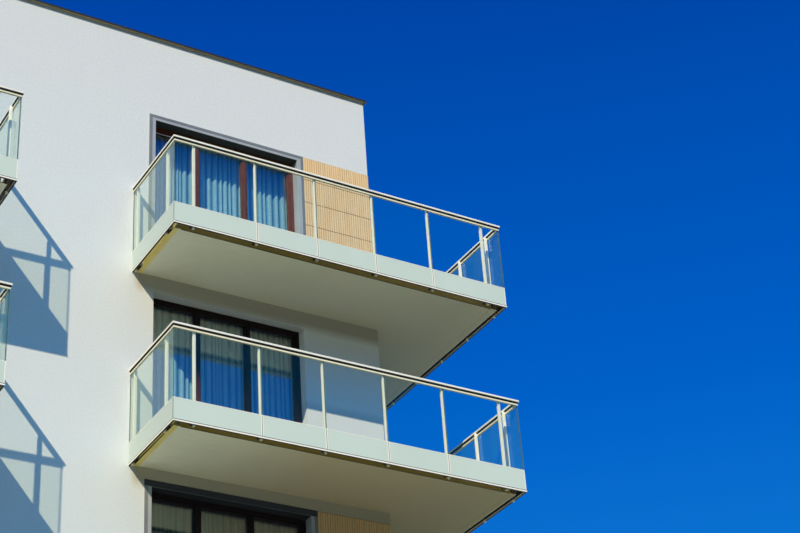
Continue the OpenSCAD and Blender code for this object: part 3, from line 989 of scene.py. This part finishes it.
# %% The edges of a balcony
# An edge has its place, its length, whether it is mitred at its start and its end, and the number
# of spaces between its posts.
OUT, ALONG, BACK = 1.40, 5.36, 4.425
glass_x, glass_y, rear_y = WALL_X + OUT, -WALL_Y - OUT, -WALL_Y + BACK
inner_x, middle_x = glass_x - ALONG, ALONG / 2
CORNER_EDGES = [
    (shifted(inner_x, -WALL_Y) @ turned(-90), OUT, False, True, 1),
    (shifted(inner_x, glass_y), ALONG, True, True, 5),
    (shifted(glass_x, glass_y) @ turned(90), OUT + BACK, True, True, 7),
    (shifted(glass_x, rear_y) @ turned(180), OUT, True, False, 1),
]
MIDDLE_EDGES = [
    (shifted(-middle_x, -WALL_Y) @ turned(-90), OUT, False, True, 1),
    (shifted(-middle_x, glass_y), ALONG, True, True, 5),
    (shifted(middle_x, glass_y) @ turned(90), OUT, True, False, 1),
]
upper_floors = [shifted(0, 0, level) for level in FLOORS[1:]]
STACKS = {
    "right": (CORNER_EDGES, upper_floors),
    "middle": (MIDDLE_EDGES, upper_floors),
    "left": (CORNER_EDGES, [level @ MIRROR for level in upper_floors]),
}
print("edges of a corner balcony:", len(CORNER_EDGES))

# %% Bars along the edges
def edge_bars(edges, outer, inner, low, high, rounding=0.0, segments=1):
    """A bar of one section along every edge, mitred where it meets the next."""
    bars = []
    for place, length, at_start, at_end, _ in edges:
        bar = block("bar", (0, outer, low), (length, inner, high))
        ends = [(0, 1)] * at_start + [(length, -1)] * at_end
        for end, way in ends:
            for side in (outer, inner):
                if side:
                    pick(bar, lambda *points: max(max(abs(p.x - end), abs(p.y - side))
                        for p in points) < 1e-4, edges=True)
                    move(way * side, 0, 0)
                    done()
        if rounding:
            soften(bar, rounding, segments)
        bar.data.transform(place)
        bars.append(bar)
    return bars


# %% Rails and slab channels
RAIL_LOW, RAIL_HIGH, CAP_HIGH = 1.065, 1.100, 1.043
RAIL_OUTER, RAIL_INNER, RAIL_GROOVE, GAP_SHADE = -0.022, 0.038, 0.004, 0.012
SLAB_UNDER, FLANGE, WEB_FRONT = -0.320, 0.012, 0.160
CHANNEL_TONES = ("channel_metal", "channel_side", "channel_shade")
for stack, (edges, places) in STACKS.items():
    # Painted shade: a black strip under the rail, and a black stem in the gap over the capping.
    rail = edge_bars(edges, RAIL_OUTER, RAIL_INNER, RAIL_LOW + RAIL_GROOVE, RAIL_HIGH, 0.005, 2)
    shadow = edge_bars(edges, -0.017, 0.033, RAIL_LOW, RAIL_LOW + RAIL_GROOVE)
    gap_shade = edge_bars(edges, 0.000, GAP_SHADE, CAP_HIGH - 0.002, RAIL_LOW)
    pieces = coated("rail_metal", *rail) + coated("black_rubber_and_shade", *shadow, *gap_shade)
    pattern = joined("rail_pattern", pieces)
    repeated(f"{stack}_rails", pattern, places, "rail_metal", f"{stack}_handrails")
    web = edge_bars(edges, WEB_FRONT, 0.170, SLAB_UNDER, 0.0)
    flanges = edge_bars(edges, 0.150, WEB_FRONT, SLAB_UNDER, SLAB_UNDER + FLANGE, 0.002)
    flanges += edge_bars(edges, 0.150, WEB_FRONT, -FLANGE, 0.0, 0.002)
    pattern = joined("channel_pattern", web + flanges)
    # Painted shade: downward faces are dark, and faces that look sideways, where the returns take
    # the sun, a duller gold.
    toned(pattern, CHANNEL_TONES, lambda face:
        2 if face.normal.z < -0.5 else 1 if abs(face.normal.x) > 0.5 else 0)
    repeated(f"{stack}_channels", pattern, places, "channel_metal", f"{stack}_slab_channels")

# %% [markdown]
# ### Brackets, cappings and seals
#
# The clear panes stand in a white foot channel and wear a cream capping, and every post hangs on a
# bracket. The solids have all these, so a copy with rounded edges is enough, and the tones are
# given face by face, with painted shade on the brackets. Black seals and a bright rim line the foot
# of the frosted panes, and the rim is a painted highlight. At the side edges the soffit reaches
# further out than the slab, so a thin plate is laid under it, with a lip on the outer side and a
# gold flange on the inner return, whose bright tone is painted light.

# %% Fittings
BRACKET_LOW, BRACKET_HIGH, POST_BACK, CAPPING_BELOW = 2.6, 2.8, 0.061, 1.2


def inward(stack, spot):
    """How far a spot lies inside the glass line."""
    x, y = abs(spot.x), spot.y
    if stack == "middle":
        return min(middle_x - x, y - glass_y)
    return min(glass_x - x, y - glass_y, rear_y - y, x - inner_x if y < -WALL_Y else 1)


def fitting_tone(face):
    """Painted shade on the brackets and on the faces below the floor that look down, cream on the
    capping and white on the foot channel.
    """
    level = (face.center.z - GROUND) % STOREY
    hidden = face.normal.z < -0.5 or inward(stack, face.center) > POST_BACK
    under_shade = BRACKET_LOW < level < BRACKET_HIGH and hidden
    return 1 if under_shade else 2 if level < CAPPING_BELOW else 0


for stack in STACKS:
    fittings = dressed(f"{stack}_fittings", f"{stack}_glass_fittings", 0.0015)
    toned(fittings, ("fitting_metal", "channel_shade", "capping_cream"), fitting_tone)
    hand_over(fittings, "fitting_metal", f"{stack}_glass_fittings")

# %% Seals and soffit margins
MARGINS_OUT, SLAB_EDGE, FROM_CORNER = ((0.072, 0.140), (0.078, 0.078)), 0.172, 0.150


def margin(start, end, flange_out, out):
    """A plate under a side edge, with a flange where there is room for one, else with a lip."""
    plate = block("plate", (start, out, SLAB_UNDER - 0.003), (end, SLAB_EDGE, SLAB_UNDER - 0.0002))
    low, high = (start, out - 0.001, SLAB_UNDER - 0.005), (end, out + 0.007, SLAB_UNDER + 0.001)
    slot = "fitting_metal"
    # Painted light: the gold flange is bright, as from sun through the frosted panes.
    if flange_out < out:
        low, high = (start, flange_out, SLAB_UNDER - 0.004), (end, out, SLAB_UNDER - 0.001)
        slot = "channel_flange"
    return coated("balcony_concrete", plate) + coated(slot, block("edging", low, high))


for stack, (edges, places) in STACKS.items():
    seals = edge_bars(edges, -0.003, 0.000, SLAB_UNDER + 0.002, SLAB_UNDER + 0.011)
    # The bright rim is a painted highlight.
    highlight_rims = edge_bars(edges, -0.0012, 0.000, -0.009, -0.001)
    pieces = coated("black_rubber_and_shade", *seals) + coated("fitting_metal", *highlight_rims)
    repeated(f"{stack}_seals", joined("seal_pattern", pieces), places, "fitting_metal")
    margins = []
    for (place, length, at_start, at_end, _), widths in zip((edges[0], edges[2]), MARGINS_OUT):
        for piece in margin(FROM_CORNER * at_start, length - FROM_CORNER * at_end, *widths):
            piece.data.transform(place)
            margins.append(piece)
    repeated(f"{stack}_margins", joined("margin_pattern", margins), places, "balcony_concrete")

# %% [markdown]
# ## Posts
#
# A post is a flat bar whose head narrows under the rail. It starts as a block, its top face is
# extruded and narrowed, and the edges are rounded. Below the floor, behind the frosted pane, it
# gets painted shade like the brackets, so it is bisected there.

# %% One post
POST_LOW, POST_WIDTH, POST_TIP, SHOULDER, TAPER = -0.330, 0.038, 0.016, 0.80, 0.080
DARK_UNDER = -0.002
half = POST_WIDTH / 2
post = block("post", (-half, 0.020, POST_LOW), (half, 0.060, RAIL_LOW - TAPER))
pick(post, lambda place, normal: normal.z > 0.5)
for rise, narrower in ((0.6, SHOULDER), (0.4, POST_TIP / POST_WIDTH / SHOULDER)):
    draw_out(TAPER * rise)
    bpy.ops.transform.resize(value=(narrower, 1, 1), center_override=(0, 0.040, RAIL_LOW))
done()
soften(post, 0.005, 2)
cut_at(post, (0, 0, DARK_UNDER), (0, 0, 1))
toned(post, ("rail_metal", "channel_shade"), lambda face: face.center.z < DARK_UNDER)
print("faces of a post:", len(post.data.polygons))

# %% Posts along the edges
POST_FROM_CORNER, POST_FROM_END = 0.305, 0.08


def posts_along(length, at_start, at_end, spaces):
    """Where the posts of an edge stand, with even spaces between the first and the last."""
    first, last = (
        POST_FROM_CORNER if corner else POST_FROM_END for corner in (at_start, at_end)
    )
    return [first + number * (length - first - last) / spaces for number in range(spaces + 1)]


post_places = {}
for stack, (edges, places) in STACKS.items():
    spots = [edge[0] @ shifted(x) for edge in edges for x in posts_along(*edge[1:])]
    post_places[stack] = [place @ spot for place in places for spot in spots]
    hand_over(copied(f"{stack}_bars", post, post_places[stack]), "rail_metal", f"{stack}_posts")
scrap(post)

# %% [markdown]
# ### Bolts
#
# Each post stands on one bolt close behind the glass. From below its head catches the sun beside
# the end of a slot, where a black disc is painted shade. The head is a cylinder whose underside is
# inset and drawn down, and both are copied to every post.

# %% Bolts
BOLT_RADIUS, BOLT_HIGH, BOLT_PLACE = 0.020, 0.028, (-0.010, 0.028, -0.344)
SLOT_RADIUS, SLOT_HIGH, SLOT_PLACE = 0.018, 0.004, (-0.026, 0.083, -0.301)
bolt = cylinder(12, BOLT_RADIUS, BOLT_HIGH, BOLT_PLACE)
pick(bolt, lambda place, normal: normal.z < -0.5)
inset(0.007)
draw_out(-0.008)
done()
# Painted shade: a black disc at the end of the slot.
slot_shade = cylinder(12, SLOT_RADIUS, SLOT_HIGH, SLOT_PLACE)
bolt = joined("bolt", coated("capping_cream", bolt) + coated("black_rubber_and_shade", slot_shade))
for stack, places in post_places.items():
    hand_over(copied(f"{stack}_bolts", bolt, places), "fitting_metal")
scrap(bolt)

# %% [markdown]
# ## Glass edges
#
# A pane is greener when it is looked at through its edge, so the narrow faces of the panes get an
# edge finish. The frosted panes are dark on their inner face. At each joint two thin pale strips
# are painted highlights on the polished edges, and one more lies on the corner edge of the front.

# %% Glass edges
GLASS, NARROW = 0.012, 0.02


def pane_tone(face):
    longest = max((mesh.vertices[a].co - mesh.vertices[b].co).length for a, b in face.edge_keys)
    if 2 * face.area / longest < NARROW:
        return 1
    behind = inward(stack, face.center + 0.004 * face.normal) > GLASS
    return 2 if kind == "frosted" and behind else 0


for stack in STACKS:
    for kind in ("clear", "frosted"):
        panes = frame["nodes"][f"{stack}_{kind}_panes"]
        mesh = panes.data
        toned(panes, (f"{kind}_glass", "glass_edge", "glass_back"), pane_tone)
print("glass edges painted")

# %% Painted highlights beside the joints
HIGHLIGHT, HALF_JOINT, HIGHLIGHT_LOW, HIGHLIGHT_HIGH = 0.013, 0.004, -0.325, -0.001


def edge_highlight(start, end):
    return block("strip", (start, -0.001, HIGHLIGHT_LOW), (end, 0.001, HIGHLIGHT_HIGH))


for stack, (edges, places) in STACKS.items():
    strips = []
    for edge in edges:
        for x in posts_along(*edge[1:])[1:-1]:
            for low in (x - HALF_JOINT - HIGHLIGHT, x + HALF_JOINT):
                strips.append(soften(edge_highlight(low, low + HIGHLIGHT), 0.0004))
                strips[-1].data.transform(edge[0])
    place, length = edges[1][:2]
    strips.append(edge_highlight(length - 0.011, length - 0.0005))
    strips[-1].data.transform(place)
    repeated(f"{stack}_borders", joined("highlight_pattern", strips), places, "fitting_metal")

# %% [markdown]
# ## Coping
#
# The coping is a folded sheet that caps the parapet. A plate the size of the wall's outline is
# inset and bridged into a ring, its outer edge is lifted for the fall, and its rims are drawn down
# into the hanging faces. The hanging face is nearly black, and the underside is a dull brown.

# %% Coping
LIP, COPING_WIDTH, PARAPET_TOP, FALL, COPING_TOP = 0.012, 0.390, 19.110, 0.008, 19.135
half_x, half_y = WALL_X + 0.045, WALL_Y + 0.045


def within(place):
    """How far a spot lies inside the plate's long and short sides."""
    return half_x - abs(place.x), half_y - abs(place.y)


def on_lip(place, normal):
    """Whether a face looks down and lies along the outer or the inner edge."""
    x, y = within(place)
    inner = (abs(x - COPING_WIDTH) < LIP and y > COPING_WIDTH) or (
        abs(y - COPING_WIDTH) < LIP and x > COPING_WIDTH)
    return normal.z < -0.5 and (min(x, y) < LIP or inner)


coping = block("coping", (-half_x, -half_y, PARAPET_TOP), (half_x, half_y, COPING_TOP - FALL))
pick(coping, lambda place, normal: abs(normal.z) > 0.5)
inset(COPING_WIDTH, use_individual=True)
bpy.ops.mesh.bridge_edge_loops()
done()
pick(coping, lambda a, b: min(a.z, b.z) > PARAPET_TOP + 0.01 and min(
    max(w) for w in zip(within(a), within(b))) < 0.01, edges=True)
move(0, 0, FALL)
done()
pick(coping, lambda place, normal: normal.z < -0.5)
inset(LIP)
done()
pick(coping, on_lip)
draw_out(-0.015)
done()
soften(coping, 0.002)
toned(coping, ("coping_metal", "coping_rim", "coping_under"), lambda face:
    2 if face.normal.z < -0.5 else 1 if min(within(face.center)) < 0.004 else 0)
hand_over(coping, "coping_metal", "parapet_coping")

# %% [markdown]
# ### Coping joints
#
# The sheet comes in lengths of three metres, and a cover strip is laid over each joint. A strip is
# a thin block whose top is inset and lifted, tilted to lie on the fall, and then copied.

# %% Coping joints
strip = block("strip", (-0.05, 0.040, -0.001), (0.05, 0.380, 0.0004))
pick(strip, lambda place, normal: normal.z > 0.5)
inset(0.004)
move(0, 0, 0.0004)
done()
strip.data.transform(Matrix.Rotation(-math.atan(FALL / COPING_WIDTH), 4, "X"))
joints = [shifted(x, -half_y, COPING_TOP) for x in (-6, -3, 0, 3, 6)]
joints += [turned(180) @ joint for joint in joints]
sides = [turned(90) @ shifted(y, -half_x, COPING_TOP) for y in (-3, 0, 3)]
joints += sides + [turned(180) @ joint for joint in sides]
repeated("coping_joints", strip, joints, "coping_metal")

# %% [markdown]
# ## Roof
#
# The flat roof is laid with strips of mineral felt. Each strip laps over its neighbour, and another
# strip is dressed up the parapet over a sloping fillet, under a metal clamping bar. One strip and
# one side are modelled, and the rest are copies.

# %% Felt strips
ROOF_Z, INSIDE_X, INSIDE_Y, FELT, STRIPS, LAP = 18.150, 8.550, 5.700, 0.004, 12, 0.05
strips = []
felt_width = 2 * INSIDE_Y / STRIPS
felt_top = ROOF_Z + FELT
for number in range(STRIPS):
    y = -INSIDE_Y + number * felt_width
    strips.append(block("strip", (-INSIDE_X, y, ROOF_Z), (INSIDE_X, y + felt_width, felt_top)))
    if number:
        lap = block("lap", (-INSIDE_X, y - LAP, felt_top), (INSIDE_X, y + LAP, felt_top + FELT))
        strips.append(soften(lap, 0.002))
felt = joined("felt", strips)
print("felt strips:", STRIPS)

# %% Upstands
FILLET, UPSTAND = 0.045, 0.200


def upstand(name, length):
    """A fillet, a sheet up the wall and a clamping bar, along a wall that runs in x at y = 0."""
    fillet = block("fillet", (0, -FILLET, 0.004), (length, -0.004, FILLET))
    pick(fillet, lambda a, b: max(a.y, b.y) < -0.04 and min(a.z, b.z) > 0.04, edges=True)
    move(0, 0.036, -0.002)
    done()
    sheet = block("sheet", (0, -0.005, 0), (length, 0, UPSTAND))
    bar = soften(block("bar", (0, -0.010, 0.185), (length, -0.005, 0.215)), 0.002)
    return joined(name, coated("roof_covering", fillet, sheet) + coated("coping_metal", bar))


pairs = []
for half, out, ways in ((INSIDE_X, INSIDE_Y, (0, 180)), (INSIDE_Y, INSIDE_X, (90, -90))):
    side = upstand("side", 2 * half)
    start = shifted(-half, out, ROOF_Z)
    pairs.append(copied("pair", side, [turned(way) @ start for way in ways]))
    scrap(side)
hand_over(joined("upstands", pairs), "roof_covering")
hand_over(felt, "roof_covering")

# %% Outlets
OUTLET_RADIUS, OUTLET_X, OUTLET_Y = 0.11, 5, 3.3
outlet = cylinder(24, OUTLET_RADIUS, 0.003, (0, 0, 0.0075))
for step in (0.03, 0.02, 0.02):
    pick(outlet, lambda place, normal: normal.z > 0.5 and place.xy.length < 0.005)
    inset(step)
    move(0, 0, -0.001)
    done()
corners = [(x, y) for x in (-OUTLET_X, OUTLET_X) for y in (-OUTLET_Y, OUTLET_Y)]
places = [shifted(x, y, ROOF_Z) for x, y in corners]
repeated("outlets", outlet, places, "coping_metal")

# %% [markdown]
# ## Curtains
#
# A curtain is one flat sheet gathered on its track. Its folds are never even, so each has its own
# width and depth, drawn from a seeded list. A grid as wide as the window gets the folds by moving
# its points, and Solidify gives it a cloth's thickness. The flat width is what the folds use up.

# %% Gather a curtain
FOLD_STEPS, CURTAIN_ROWS, CURTAIN_DEPTH = 6, 6, 0.424
FOLD_WIDTHS, PINCHED, RIPPLE = (0.045, 0.060, 0.075, 0.090, 0.120), 0.45, 0.055


def gathered(name, width, low, high, seed):
    dice = random.Random(seed)
    pitches = []
    while sum(pitches) < width:
        pitches.append(dice.choice(FOLD_WIDTHS) * dice.uniform(0.9, 1.1))
    scale = width / sum(pitches)
    pitches = [pitch * scale for pitch in pitches]
    starts = [sum(pitches[:number]) for number in range(len(pitches))]
    depths = [dice.uniform(0.018, 0.034) for _ in pitches] + [0.02]
    sways = [dice.uniform(-0.011, 0.011) for _ in pitches] + [0]
    drifts = [dice.uniform(-0.25, 0.25) for _ in pitches] + [0]
    steps = len(pitches) * FOLD_STEPS
    bpy.ops.mesh.primitive_grid_add(x_subdivisions=steps, y_subdivisions=CURTAIN_ROWS, size=1)
    cloth = bpy.context.object
    cloth.name = name
    painted_fold_shade = cloth.data.attributes.new("fold", "FLOAT", "POINT").data
    for number, point in enumerate(cloth.data.vertices):
        along = min(max(point.co.x + 0.5, 0), 1) * len(pitches)
        up = min(max(point.co.y + 0.5, 0), 1)
        fold = min(int(along), len(pitches) - 1)
        part = along - fold
        drift, depth, sway = (
            list_of[fold] * (1 - part) + list_of[fold + 1] * part
            for list_of in (drifts, depths, sways)
        )
        bend = 2 * math.pi * part + drift * (1 - up)
        # The fold attribute carries the cloth's painted shade: 1 in the hollows.
        painted_fold_shade[number].value = 0.5 + 0.5 * math.cos(bend)
        out = sway * (1 - up ** 4) + depth * (1 - PINCHED * up ** 6) * math.cos(bend)
        x = starts[fold] + pitches[fold] * (part + RIPPLE * math.sin(4 * math.pi * part))
        point.co = (x - width / 2, CURTAIN_DEPTH + out, low + up * (high - low))
    area = sum(face.area for face in cloth.data.polygons)
    modified(cloth, "SOLIDIFY", thickness=0.0012, offset=0)
    bpy.ops.object.shade_smooth()
    cloth.data.materials.append(finishes["curtain_cloth"])
    return cloth, (area / (high - low), high - low)


# %% Make a track
CURTAIN_PAST, TRACK_UP, TRACK_HIGH, TRACK_HALF = 0.15, 0.06, 0.03, 0.05


def track(width, low):
    """A white track with a groove along its underside for the gliders."""
    half = width / 2 + CURTAIN_PAST
    made = block("track", (-half, CURTAIN_DEPTH - TRACK_HALF, low),
        (half, CURTAIN_DEPTH + TRACK_HALF, low + TRACK_HIGH))
    pick(made, lambda place, normal: normal.z < -0.5)
    inset(0.030)
    draw_out(0.012)
    done()
    return soften(made, 0.003)


# %% Hang the curtains
KINDS = [
    (tall_units, UNIT_WIDTH, 0.015, HEAD),
    (low_units, UNIT_WIDTH, -0.100, HEAD - SILL),
    (plain_windows, WINDOW_WIDTH, -0.100, HEAD - SILL),
]
hung = 0
for kind, (places, width, low, head) in enumerate(KINDS):
    cloths = [
        gathered("cloth", width + 2 * CURTAIN_PAST - 0.02, low, head + TRACK_UP, 10 * kind + number)
        for number in range(3)
    ]
    for number, place in enumerate(places):
        cloth, flat = cloths[number % 3]
        hung += 1
        curtain = copied(f"curtain_{hung}", cloth, [place])
        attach(curtain, "root")
        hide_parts("curtains")
    pattern = track(width, head + TRACK_UP)
    repeated(f"tracks_{kind + 1}", pattern, places, "track_metal", "curtain_tracks")
    print("curtains of", round(width, 3), "m, cut", [round(x, 2) for x in cloths[0][1]])
    scrap(*[cloth for cloth, _ in cloths])
print("curtains hung:", hung)

# %% [markdown]
# ## Tiles on the balconies
#
# The balcony floors are laid with square tiles, seen from above. One tile is a thin block, two
# Array modifiers lay a field, and the field is trimmed with bisect at its far edges.

# %% Lay tiles
TILE, JOINT = 0.296, 0.004


def tiled(name, low, high):
    tile = block(name, (low[0], low[1], 0.0005), (low[0] + TILE, low[1] + TILE, 0.008))
    ways = ((1, 0, 0), (0, 1, 0))
    for way, start, end in zip(ways, low, high):
        pitch = TILE + JOINT
        arrayed(tile, math.ceil((end - start) / pitch), [pitch * x for x in way])
    for way in ways:
        cut_at(tile, (*high, 0), way, use_fill=True, clear_outer=True)
    return tile


# %% Tile the balconies
edge, gap = 0.175, 0.003
wall_y = -WALL_Y - gap
front = tiled("front", (inner_x + edge, glass_y + edge), (glass_x - edge, wall_y))
side = tiled("side", (WALL_X + gap, -WALL_Y + 0.001), (glass_x - edge, rear_y - edge))
corner_field = joined("corner_field", [front, side])
middle_field = tiled("middle", (-middle_x + edge, glass_y + edge), (middle_x - edge, wall_y))
for stack, (_, places) in STACKS.items():
    field = middle_field if stack == "middle" else corner_field
    tiles = copied(f"{stack}_tiles", field, places)
    tiles.data.materials.append(finishes["balcony_tile"])
    hand_over(tiles, "balcony_concrete")
scrap(corner_field, middle_field)

# %% [markdown]
# ## Print the size and finish
#
# The visual model has to keep the solid model's size. Its size, over all shown pieces but the
# floor, is printed.

# %% Finish
low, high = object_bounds()
print("size:", [round(b - a, 3) for a, b in zip(low, high)])
